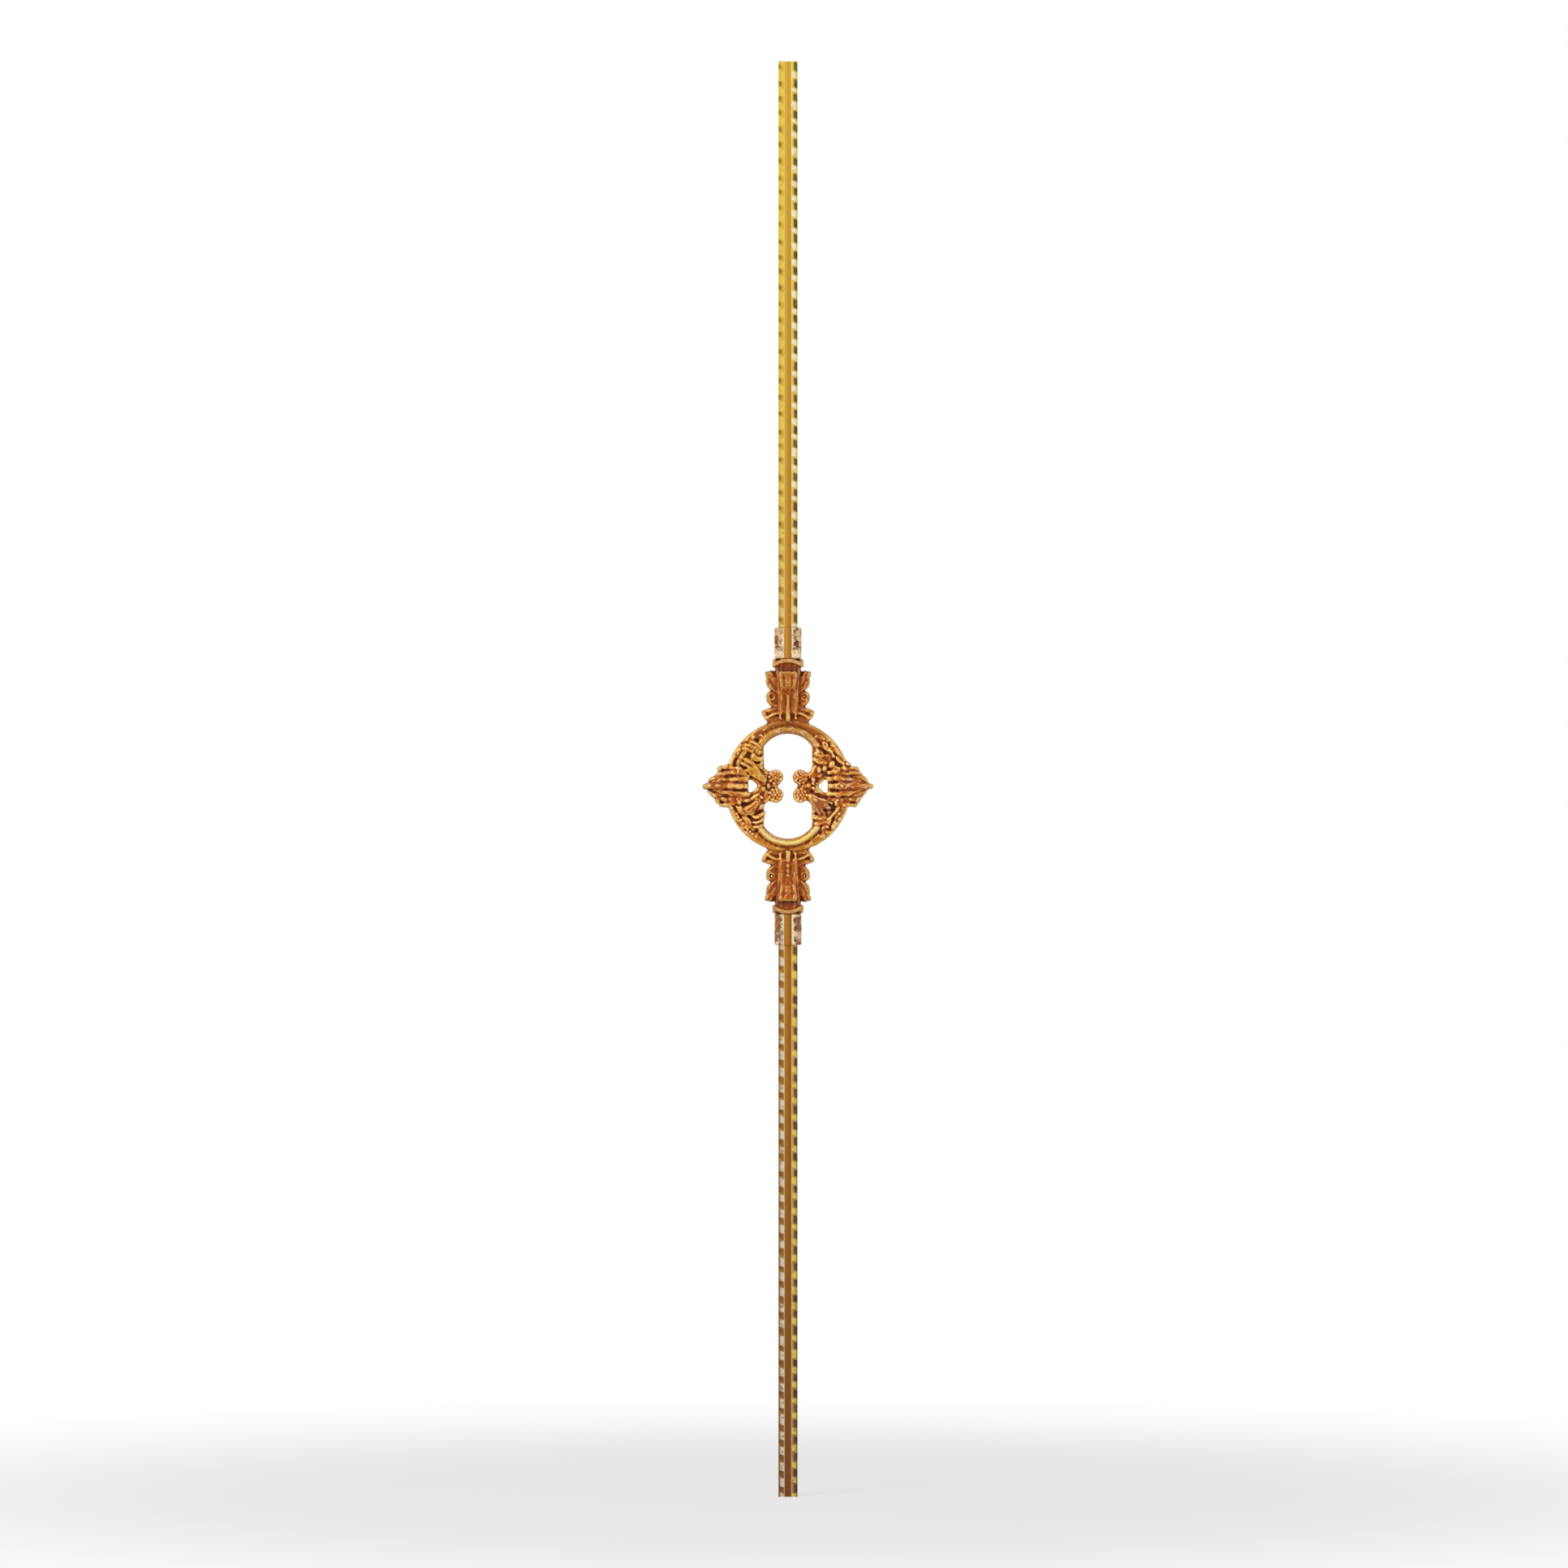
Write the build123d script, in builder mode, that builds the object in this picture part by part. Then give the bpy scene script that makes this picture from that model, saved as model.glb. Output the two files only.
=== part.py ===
from build123d import *
from math import cos, radians, sin, sqrt
import os

# Ornamental stair baluster: two hammered square bars welded to a cast oval medallion,
# with a square collar over each weld. Millimetres, +Z up, foot of the bar at the origin,
# the medallion faces -Y.

# Bars
bar_size = 12.0
bar_channel_width = 4.5
bar_channel_depth = 0.8
lower_bar_length = 365.5
upper_bar_length = 374.5

# Hammer marks on the corners of the bars and collars: length at the corner, length of the
# flat at the bottom, and depth measured in from the corner
mark_pitch = 9.9
mark_length = 7.0
mark_flat = 3.2
mark_depth = 1.9
mark_slant = 14.0
mark_margin = 4.0

# Collars
collar_size = 17.0
collar_length = 19.6
collar_clearance = 0.1
collar_channel_depth = 1.0
collar_end_chamfer = 0.7

# Medallion, measured from its own centre
casting_length = 160.0
ring_radius = 38.7
ring_stretch = 5.2
rim_width = 2.6
rim_depth = 9.6
web_depth = 7.0
opening_radius = 19.0
opening_height = 66.6
opening_width = 31.0
bead_radius = 27.0
bead_height = 37.2
bead_width = 4.8
bead_depth = 11.2
bead_half_angle = 52.0
hole_outer = 24.9
hole_shoulder = 22.2
hole_inner = 19.4
hole_height = 8.0
rosette_x = 7.8
rosette_z = 5.6
rosette_radius = 4.9
rosette_depth = 10.6
rosette_petals = 8
button_radius = 1.7
button_depth = 12.2
blade_edge = 6.6
palmette_reach = 53.5
palmette_depth = 6.2

# The carving's outlines are drawn in this unit, the side arms of the rosettes too
carving_unit = 1.0

# Stems of the medallion
stem_root = 11.0
stem_root_depth = 3.4
stem_waist = 13.4
stem_waist_height = 14.0
stem_shoulder = 14.6
stem_shoulder_height = 25.0
stem_neck = 17.0
rim_block_size = 19.8
rim_block_height = 4.6
rim_block_slope = 3.0
front_leaf_set_back = 3.4
horn_width = 9.0
eyelet_spine_width = 5.6
eyelet_spine_height = 14.0
eyelet_radius = 3.6
eyelet_hole_radius = 1.1
eyelet_width = 6.4
flare_width = 10.0
rib_width = 2.6
rib_height = 19.0
rib_stand = 0.9

casting_end = casting_length / 2
ring_top = ring_radius + ring_stretch / 2
casting_z = lower_bar_length + casting_end
front = Plane(origin=(0, 0, casting_z), x_dir=(1, 0, 0), z_dir=(0, -1, 0))


def channel_radius(depth):
    return (bar_channel_width**2 / 4 + depth**2) / (2 * depth)


def mark_places(size, first, last):
    """One row of hammer marks along each corner of a square, centred between two heights."""
    count = int((last - first - mark_length) / mark_pitch) + 1
    start = (first + last - (count - 1) * mark_pitch) / 2
    slant = radians(mark_slant)
    places = []
    for corner in range(4):
        turn = radians(45 + 90 * corner)
        out = Vector(cos(turn), sin(turn), 0)
        along = Vector(-sin(turn), cos(turn), 0)
        axis = along * cos(slant) + Vector(0, 0, 1) * sin(slant)
        for i in range(count):
            bottom = out * (size / sqrt(2) - mark_depth) + Vector(0, 0, start + i * mark_pitch)
            places.append(Plane(origin=bottom, x_dir=out, z_dir=axis))
    return places


# The hammer's shape, its flat end at zero and its sides opening along +X
with BuildPart() as hammer:
    with BuildSketch():
        slope = (mark_length - mark_flat) / (2 * mark_depth)
        head = 2 * mark_depth
        with BuildLine():
            Polyline(
                (0, mark_flat / 2),
                (head, mark_flat / 2 + head * slope),
                (head, -mark_flat / 2 - head * slope),
                (0, -mark_flat / 2),
                close=True,
            )
        make_face()
    extrude(amount=3 * mark_depth, both=True)


def bar(label, foot, length, hidden_at_foot, hidden_at_head):
    """A channelled square bar; the ends that go into a collar carry no hammer marks."""
    first = foot + hidden_at_foot + mark_margin
    last = foot + length - hidden_at_head - mark_margin
    groove = channel_radius(bar_channel_depth)
    with BuildPart() as rod:
        with BuildSketch(Plane.XY.offset(foot)):
            Rectangle(bar_size, bar_size)
            with PolarLocations(bar_size / 2 - bar_channel_depth + groove, 4):
                Circle(groove, mode=Mode.SUBTRACT)
        extrude(amount=length)
        with Locations(*mark_places(bar_size, first, last)):
            add(hammer.part, mode=Mode.SUBTRACT)
    rod.part.label = label
    return rod.part


def collar(label, foot):
    """A square sleeve over the weld, with the bar's channel and hammer marks on its corners."""
    bore = bar_size + 2 * collar_clearance
    with BuildPart() as sleeve:
        with BuildSketch(Plane.XY.offset(foot)):
            Rectangle(collar_size, collar_size)
        extrude(amount=collar_length)
        chamfer(sleeve.faces().filter_by(Axis.Z).edges(), collar_end_chamfer)
        with BuildSketch(Plane.XY.offset(foot)):
            Rectangle(bore, bore)
            with PolarLocations(collar_size / 2, 4):
                Rectangle(2 * collar_channel_depth, bar_channel_width)
        extrude(amount=collar_length, mode=Mode.SUBTRACT)
        with Locations(*mark_places(collar_size, foot, foot + collar_length)):
            add(hammer.part, mode=Mode.SUBTRACT)
    sleeve.part.label = label
    return sleeve.part


def drawn(*points):
    """Points of an outline, in the carving's unit."""
    return [(x * carving_unit, z * carving_unit) for x, z in points]


def blade(root, tip, width, depth):
    """One leaf lobe: upright edges, and a ridge along it on front and back."""
    root, tip = [Vector(*point) for point in drawn(root, tip)]
    run = tip - root
    side = run.rotate(Axis.Z, 90).normalized() * (carving_unit * width / 2)
    outline = (root, tip, root + run * 0.6 + side, root + run * 0.6 - side)
    ridge = (root + run * 0.3, root + run * 0.72)
    corners = []
    for face in (1, -1):
        edge = Vector(0, 0, face * blade_edge / 2)
        crest = Vector(0, 0, face * carving_unit * depth / 2)
        corners += [corner + edge for corner in outline] + [corner + crest for corner in ridge]
    with BuildPart() as lobe:
        ConvexPolyhedron([front.from_local_coords(corner) for corner in corners])
    return lobe.part


def four_ways(point):
    """The same point in each quarter of the ring."""
    x, z = point
    return [(x * i, z * j) for i in (1, -1) for j in (1, -1)]


def stem_leaf(side, turn):
    """The leaf on one side of a stem: a horn on the ring, an eyelet curl and a flared tip.
    On the front and the back there is only the flared tip, set back."""
    out = Vector(cos(turn), sin(turn), 0)
    up = Vector(0, 0, side)
    plane = Plane(
        origin=Vector(0, 0, casting_z + side * ring_top) - out * front_leaf_set_back * abs(sin(turn)),
        x_dir=out,
        z_dir=out.cross(up),
    )
    with BuildSketch(plane, mode=Mode.PRIVATE) as horn:
        with BuildLine():
            outline = drawn(
                (4, 10.6), (4, -3.2), (11.6, -2.8), (15.4, 0.2),
                (17.1, 6.4), (13.8, 5.2), (10.6, 7.4), (9.0, 10.6),
            )
            Polyline(*outline, close=True)
        make_face()
    with BuildSketch(plane, mode=Mode.PRIVATE) as eyelet:
        with Locations(*drawn((7, 14))):
            Rectangle(eyelet_spine_width, eyelet_spine_height)
        with Locations(*drawn((10.1, 14.3))):
            RegularPolygon(eyelet_radius, 8)
        with Locations(*drawn((10.4, 14.6))):
            RegularPolygon(eyelet_hole_radius, 6, mode=Mode.SUBTRACT)
    with BuildSketch(plane, mode=Mode.PRIVATE) as flare:
        with BuildLine():
            outline = drawn(
                (5, 18.2), (10.8, 18.2), (12.2, 22.8), (14.5, 28.0), (13.4, 31.2), (8.4, 30.4), (5, 30.4),
            )
            Polyline(*outline, close=True)
        make_face()
    tiers = [(flare, flare_width)]
    if abs(cos(turn)) > 0.5:
        tiers += [(horn, horn_width), (eyelet, eyelet_width)]
    return [
        extrude(tier.sketch, amount=width / 2, both=True, mode=Mode.PRIVATE) for tier, width in tiers
    ]


# The block at each end of the casting: square, its edge sloping from the seat of the collar
# down to the corners. Its end face is at zero here.
with BuildPart() as end_block:
    half, neck = rim_block_size / 2, stem_neck / 2
    seat = collar_size / 2
    points = [(x * half, y * half, -rim_block_slope) for x in (1, -1) for y in (1, -1)]
    points += [(x * neck, y * neck, -rim_block_height) for x in (1, -1) for y in (1, -1)]
    for turn in (1, -1):
        for y in (1, -1):
            points += [(turn * seat, y * seat / 2, 0), (y * seat / 2, turn * seat, 0)]
    ConvexPolyhedron(points)

# Acanthus lobes of one quarter of the ring: root, tip, width and depth of each
lobes = (
    ((28.0, 15.8), (14.0, 2.6), 6.4, 13.0),
    ((28.0, 20.6), (14.6, 13.2), 6.0, 12.4),
    ((27.0, 26.6), (14.8, 21.0), 5.6, 11.8),
    ((29.6, 18.0), (19.0, 31.6), 5.4, 11.4),
    ((36.4, 10.4), (27.0, 22.6), 5.8, 12.1),
)
# Ridges of a palmette on either side of the middle one
ridges = (
    ((24.2, 4.0), (47.4, 6.2), 4.8, 11.6),
    ((25.6, 8.4), (44.6, 11.2), 5.0, 11.0),
)
carving = [
    blade(a, b, width, depth)
    for root, tip, width, depth in lobes + ridges
    for a, b in zip(four_ways(root), four_ways(tip))
]
for side in (1, -1):
    carving.append(blade((side * 24.0, 0), (side * 52.4, 0), 5.6, 12.3))
    with BuildPart() as leaf:
        with BuildSketch(front):
            with BuildLine():
                edge = drawn((30, 14.6), (40.6, 12.6), (44.8, 11.2), (44.4, 8.8), (47.9, 6.6), (47.8, 4.4))
                upper = [(side * x, z) for x, z in edge]
                lower = [(side * x, -z) for x, z in reversed(edge)]
                Polyline(*upper, (side * palmette_reach, 0), *lower, close=True)
            make_face()
        extrude(amount=palmette_depth / 2, both=True)
    carving.append(leaf.part)

# Rosettes: a disc of blunt petals and a raised button
for x, z in four_ways((rosette_x, rosette_z)):
    with BuildSketch(front, mode=Mode.PRIVATE) as petals:
        with Locations((x, z)):
            with PolarLocations(rosette_radius * 0.56, rosette_petals):
                RegularPolygon(rosette_radius * 0.44, 6)
            Circle(rosette_radius * 0.5)
    carving.append(extrude(petals.sketch, amount=rosette_depth / 2, both=True, mode=Mode.PRIVATE))
    with BuildSketch(front, mode=Mode.PRIVATE) as button:
        with Locations((x, z)):
            RegularPolygon(button_radius, 8)
    carving.append(extrude(button.sketch, amount=button_depth / 2, both=True, mode=Mode.PRIVATE))

for side in (1, -1):
    for quarter_turn in range(4):
        carving += stem_leaf(side, radians(90 * quarter_turn))

# The opening: an arch above and below, with straight sides between
with BuildSketch() as opening:
    arch = opening_height / 2 - opening_radius
    with Locations((0, arch), (0, -arch)):
        Circle(opening_radius)
    Rectangle(opening_width, opening_height, mode=Mode.INTERSECT)

# The casting: web and mouldings of the ring first, then the carving, then what is cut through.
with BuildPart() as medallion:
    with BuildSketch(front):
        SlotCenterToCenter(ring_stretch, 2 * (ring_radius - rim_width / 2), rotation=90)
        add(opening.sketch, mode=Mode.SUBTRACT)
        for side in (1, -1):
            with BuildLine():
                arm = drawn((21, 13), (15.2, 9.8), (7.8, 7.6), (5.8, 0), (7.8, -7.6), (15.2, -9.8), (21, -13))
                Polyline(*[(side * x, z) for x, z in arm], close=True)
            make_face()
    extrude(amount=web_depth / 2, both=True)

    with BuildSketch(front):
        SlotCenterToCenter(ring_stretch, 2 * ring_radius, rotation=90)
        SlotCenterToCenter(ring_stretch, 2 * (ring_radius - rim_width), rotation=90, mode=Mode.SUBTRACT)
    extrude(amount=rim_depth / 2, both=True)

    for side in (1, -1):
        hub = Vector(0, 0, casting_z + side * (bead_height - bead_radius))
        turn = radians(90 - bead_half_angle)
        out = Vector(cos(turn), 0, side * sin(turn))
        with BuildSketch(Plane(origin=hub + out * bead_radius, x_dir=out, z_dir=out.cross(Vector(0, 1, 0)))):
            bead = Rectangle(bead_width, bead_depth)
            chamfer(bead.vertices(), (bead_depth - web_depth) / 2 + 0.1)
        revolve(axis=Axis(hub, (0, -side, 0)), revolution_arc=2 * bead_half_angle)

    # Stems: a four-sided core that widens to the neck, with a rib up its front and back, the end
    # block and four leaves
    for side in (1, -1):
        sections = (
            (ring_top - stem_root_depth, stem_root),
            (ring_top + stem_waist_height, stem_waist),
            (ring_top + stem_shoulder_height, stem_shoulder),
            (casting_end - rim_block_height, stem_neck),
        )
        for height, size in sections:
            with BuildSketch(Plane.XY.offset(casting_z + side * height)):
                Rectangle(size, size)
        loft(ruled=True)
        with Locations((0, 0, casting_z + side * (ring_top - stem_root_depth + rib_height / 2))):
            Box(rib_width, stem_waist + 2 * rib_stand, rib_height)
        with Locations(Location((0, 0, casting_z + side * casting_end), (90 - 90 * side, 0, 0))):
            add(end_block.part)
    add(carving)

    # The small three-cornered holes by the palmettes go right through
    with BuildSketch(front):
        for side in (1, -1):
            with BuildLine():
                Polyline(
                    (side * hole_outer, hole_height / 2),
                    (side * hole_shoulder, hole_height * 0.4),
                    (side * hole_inner, 0),
                    (side * hole_shoulder, -hole_height * 0.4),
                    (side * hole_outer, -hole_height / 2),
                    close=True,
                )
            make_face()
    extrude(amount=rim_depth, both=True, mode=Mode.SUBTRACT)
medallion.part.label = "medallion"

lower_bar = bar("lower_bar", 0, lower_bar_length, 0, collar_length)
upper_bar = bar("upper_bar", lower_bar_length + casting_length, upper_bar_length, collar_length, 0)
lower_collar = collar("lower_collar", lower_bar_length - collar_length)
upper_collar = collar("upper_collar", lower_bar_length + casting_length)

os.makedirs("parts", exist_ok=True)
for piece in (lower_bar, upper_bar, lower_collar, upper_collar, medallion.part):
    export_step(piece, f"parts/{piece.label}.step")
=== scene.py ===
import bpy
import numpy as np
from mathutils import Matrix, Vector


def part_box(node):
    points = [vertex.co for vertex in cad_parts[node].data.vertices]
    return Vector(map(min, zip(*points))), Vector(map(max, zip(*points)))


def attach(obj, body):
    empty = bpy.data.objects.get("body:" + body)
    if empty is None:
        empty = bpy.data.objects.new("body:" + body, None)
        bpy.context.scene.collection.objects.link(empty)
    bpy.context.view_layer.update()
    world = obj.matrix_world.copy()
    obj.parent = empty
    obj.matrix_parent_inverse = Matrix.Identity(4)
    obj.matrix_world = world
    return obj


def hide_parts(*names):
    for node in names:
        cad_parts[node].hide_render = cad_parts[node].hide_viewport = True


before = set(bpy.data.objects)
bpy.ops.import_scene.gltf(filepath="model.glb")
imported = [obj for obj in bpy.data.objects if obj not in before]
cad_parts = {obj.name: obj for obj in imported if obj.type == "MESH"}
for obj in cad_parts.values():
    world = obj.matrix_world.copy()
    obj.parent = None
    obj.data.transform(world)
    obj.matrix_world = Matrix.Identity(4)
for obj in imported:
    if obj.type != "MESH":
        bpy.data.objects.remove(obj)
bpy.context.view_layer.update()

# Medallion: one iron casting, lacquered in copper gold. An oval ring with a bead, acanthus in
# its four quarters, a palmette at each side, four rosettes, and a leafy stem above and below.
# It is carved here as a solid on a fine grid, in millimetres from its own centre.
grid_step = 0.58
casting_low, casting_high = [np.array(corner) * 1000 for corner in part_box("medallion")]
casting_middle = (casting_low + casting_high) / 2
half_box = (casting_high - casting_low) / 2
axes = []
for half in half_box:
    count = int(np.ceil(half / grid_step)) + 2
    axes.append((np.arange(2 * count) - count + 0.5) * grid_step)
xs, ys, zs = axes


def blurred(block, reach):
    """A field averaged over a square or cube of that many cells each way."""
    for axis in range(block.ndim):
        padded = np.concatenate([np.repeat(block.take([0], axis), reach + 1, axis), block,
                                 np.repeat(block.take([-1], axis), reach, axis)], axis)
        total = np.cumsum(padded, axis, dtype=np.float64)
        count = block.shape[axis]
        span = 2 * reach + 1
        block = (total.take(range(span, span + count), axis) - total.take(range(count), axis)) / span
    return block


hand = np.random.default_rng(11)


def unevenness(shape, reach):
    """Smooth random waves about that many cells wide, of standard deviation 1."""
    waves = blurred(blurred(hand.normal(0, 1, shape), reach), reach)
    return waves / waves.std()


def rounded(first, second, radius):
    """Where two fields are both below zero, with the edge between them rounded to that radius."""
    a, b = first + radius, second + radius
    return np.minimum(np.maximum(a, b), 0) + np.hypot(np.maximum(a, 0), np.maximum(b, 0)) - radius


def melded(first, second, reach):
    """Two fields joined with a fillet, as metal runs together in a mould."""
    share = np.clip(0.5 + 0.5 * (second - first) / reach, 0, 1)
    return second * (1 - share) + first * share - reach * share * (1 - share)


class Carving:
    """A piece carved in low relief on both faces: its outline's distance and its half thickness."""

    def __init__(self, across, up, ground):
        self.across, self.up = np.meshgrid(across, up, indexing="ij")
        self.outline = np.full(self.across.shape, 99.0)
        self.height = np.full(self.across.shape, ground)
        self.rough = np.zeros(self.across.shape)

    def along(self, route, widths):
        """Distance to a curved route, the half width there, and how far along it is, from 0 to 1."""
        t = np.linspace(0, 1, 12)[:, None]
        a, b, c = [np.array(point, float) for point in route]
        curve = (1 - t) ** 2 * a + 2 * t * (1 - t) * (2 * b - (a + c) / 2) + t**2 * c
        best = np.full(self.across.shape, 1e9)
        where = np.zeros(self.across.shape)
        for i in range(len(curve) - 1):
            step = curve[i + 1] - curve[i]
            u, v = self.across - curve[i][0], self.up - curve[i][1]
            s = np.clip((u * step[0] + v * step[1]) / (step @ step), 0, 1)
            gap = np.hypot(u - s * step[0], v - s * step[1])
            closer = gap < best
            best[closer] = gap[closer]
            where[closer] = ((i + s) / (len(curve) - 1))[closer]
        return best, np.interp(where, np.linspace(0, 1, len(widths)), widths), where

    def lobe(self, route, widths, crest, foot=4.2, vein=0.0, moat=0.45):
        """A rounded finger of leaf along a route, with a groove round it and a vein down it."""
        gap, half, where = self.along(route, widths)
        half = half * (1 + self.rough)
        self.outline = np.minimum(self.outline, gap - half)
        self.height -= moat * np.exp(-(((gap - half) / 0.55) ** 2))
        ratio = np.clip(gap / half, 0, 1)
        top = foot + (crest - foot) * np.sqrt(1 - ratio**2) * (0.72 + 0.28 * np.sin(np.pi * where**0.8))
        top += 1.4 * self.rough
        top -= vein * np.exp(-((gap / 0.5) ** 2)) * np.sin(np.pi * np.clip(where * 1.05, 0, 1))
        self.height = np.where(gap < half, np.maximum(self.height, top), self.height)

    def bump(self, centre, radius, crest, foot=4.0, moat=0.45):
        gap = np.hypot(self.across - centre[0], self.up - centre[1])
        self.outline = np.minimum(self.outline, gap - radius)
        self.height -= moat * np.exp(-(((gap - radius) / 0.5) ** 2))
        top = foot + (crest - foot) * np.sqrt(1 - np.clip(gap / radius, 0, 1) ** 2)
        self.height = np.where(gap < radius, np.maximum(self.height, top), self.height)

    def eye(self, centre, radius, depth):
        gap = np.hypot(self.across - centre[0], self.up - centre[1])
        self.height -= depth * np.exp(-((gap / radius) ** 2))

    def pierce(self, gap):
        self.outline = np.maximum(self.outline, -gap)


ring = Carving(xs, zs, 3.8)
x, z = ring.across, ring.up
ring_radius, ring_stretch = 38.7, 2.6
opening_lift, opening_radius, opening_half = 14.3, 18.6, 15.1
ring_edge = np.hypot(x, np.maximum(np.abs(z) - ring_stretch, 0)) - ring_radius
opening = np.maximum(np.hypot(x, np.abs(z) - opening_lift) - opening_radius, np.abs(x) - opening_half)
ring.outline = np.maximum(ring_edge, -opening)


def roll(gap, half, foot, crest):
    """How high a rounded moulding stands at a distance from its middle; far below the face beside it."""
    top = foot + (crest - foot) * np.sqrt(1 - np.clip(gap / half, 0, 1) ** 2)
    return np.where(gap < half, top, -9)


# A smooth bead lines the opening above and below, with a groove beside it and a flatter band outside
bead_radius, bead_half, bead_start = 21.5, 2.3, np.radians(28)
from_bead = np.hypot(x, np.abs(z) - opening_lift) - bead_radius
bead_here = np.arctan2(np.abs(z) - opening_lift, np.abs(x)) > bead_start
band_out = np.maximum(-ring_edge, 0.01)
band_in = np.maximum(from_bead - 2.4, 0.01)
band_share = (band_out - band_in) / (band_out + band_in)
band_top = 3.9 + 1.0 * np.sqrt(1 - band_share**2)
ring.height = np.maximum(ring.height, np.where(bead_here, band_top, 0))
ring.height -= 0.7 * np.exp(-(((np.abs(from_bead) - 2.45) / 0.4) ** 2)) * bead_here
bead_top = roll(np.abs(from_bead), bead_half, 4.0, 5.7)
ring.height = np.where(bead_here, np.maximum(ring.height, bead_top), ring.height)

# Worked by hand, the leaves wander a little from any drawn line
wander = 0.6
ring.across = x + wander * unevenness(x.shape, 5)
ring.up = z + wander * unevenness(x.shape, 5)
ring.rough = 0.12 * unevenness(x.shape, 2)

# Acanthus, quarter by quarter, since the foundry's wax was worked by hand: lobes as a route, half
# width and crest, then buds as a place, radius and crest, then eyes cut between them.
quarters = ((-1, 1), (1, 1), (-1, -1), (1, -1))
upper_left = (
    (((37.0, 9.0), (34.2, 17.0), (27.6, 25.4)), 2.0, 5.3),
    (((24.5, 29.2), (21.2, 31.0), (17.4, 32.2)), 1.4, 5.3),
    (((31.2, 13.6), (29.8, 17.4), (27.4, 21.2)), 1.7, 5.8),
    (((24.6, 27.6), (21.4, 27.2), (18.0, 23.8)), 1.7, 5.8),
    (((28.6, 22.6), (25.2, 22.6), (21.4, 19.6)), 1.9, 6.0),
    (((26.6, 25.2), (22.6, 24.2), (18.8, 20.4)), 1.8, 6.1),
    (((22.8, 19.4), (20.0, 17.6), (16.2, 17.6)), 1.8, 6.2),
    (((33.6, 10.4), (31.4, 11.4), (29.0, 11.0)), 2.2, 6.0),
    (((23.4, 7.8), (26.0, 5.8), (29.2, 4.8)), 1.1, 5.8),
    (((19.8, 13.6), (17.8, 12.8), (16.4, 11.4)), 1.7, 6.0),
    (((26.6, 10.8), (22.0, 8.2), (15.2, 2.8)), 1.5, 6.4),
    (((28.4, 14.8), (22.4, 11.0), (15.2, 4.0)), 1.8, 6.8),
    (((26.6, 17.0), (21.2, 13.2), (16.4, 6.6)), 1.6, 6.6),
)
upper_right = (
    (((37.2, 9.4), (34.0, 17.0), (28.6, 25.6)), 2.0, 5.2),
    (((24.5, 29.0), (21.2, 31.0), (17.4, 32.2)), 1.4, 5.3),
    (((26.8, 21.2), (24.8, 23.4), (21.8, 24.6)), 1.9, 6.0),
    (((30.0, 17.8), (31.8, 15.2), (34.4, 13.4)), 1.8, 6.0),
    (((24.6, 17.2), (20.6, 17.6), (17.2, 19.4)), 2.2, 6.2),
    (((24.0, 18.8), (20.4, 20.2), (17.4, 22.4)), 2.0, 6.0),
    (((22.6, 15.4), (19.4, 15.2), (16.6, 16.0)), 1.8, 6.1),
    (((28.0, 11.6), (29.6, 10.0), (31.8, 9.2)), 2.1, 6.5),
)
lower_left = (
    (((37.0, 9.5), (34.0, 17.0), (28.0, 25.2)), 1.7, 5.2),
    (((33.6, 12.4), (29.2, 16.6), (25.4, 22.6)), 1.6, 5.9),
    (((30.6, 13.0), (27.4, 17.6), (23.2, 23.2)), 1.5, 6.1),
    (((27.6, 20.2), (24.6, 24.2), (20.4, 27.6)), 1.7, 5.8),
    (((21.6, 25.2), (19.0, 25.4), (16.6, 24.6)), 1.4, 5.8),
    (((21.8, 21.8), (18.8, 22.0), (15.8, 21.0)), 1.6, 5.9),
    (((22.2, 18.2), (19.0, 18.4), (15.6, 17.0)), 1.6, 6.0),
    (((19.6, 14.6), (17.6, 13.8), (15.8, 12.4)), 1.5, 6.1),
    (((27.0, 8.6), (23.0, 7.4), (18.4, 5.2)), 1.7, 6.0),
    (((26.0, 16.4), (22.4, 13.2), (18.8, 9.6)), 3.3, 6.7),
)
lower_right = (
    (((37.0, 9.5), (34.0, 17.0), (28.0, 25.2)), 1.9, 5.2),
    (((34.6, 11.6), (33.2, 15.4), (30.4, 19.2)), 1.5, 5.8),
    (((26.8, 19.4), (24.6, 22.6), (21.4, 26.4)), 1.7, 5.8),
    (((22.6, 21.6), (20.2, 22.6), (17.4, 23.4)), 1.7, 5.9),
    (((31.8, 11.2), (30.4, 14.6), (27.4, 18.8)), 1.6, 6.3),
    (((22.4, 18.8), (19.4, 19.6), (16.2, 18.2)), 1.9, 6.1),
    (((12.8, 6.6), (18.2, 8.0), (25.6, 10.6)), 1.5, 6.1),
    (((12.4, 7.0), (18.0, 9.4), (24.8, 13.4)), 1.8, 6.4),
    (((13.0, 7.6), (17.6, 10.8), (22.8, 16.2)), 1.8, 6.3),
    (((14.0, 8.8), (17.6, 12.8), (20.4, 17.6)), 1.4, 6.0),
)
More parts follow.
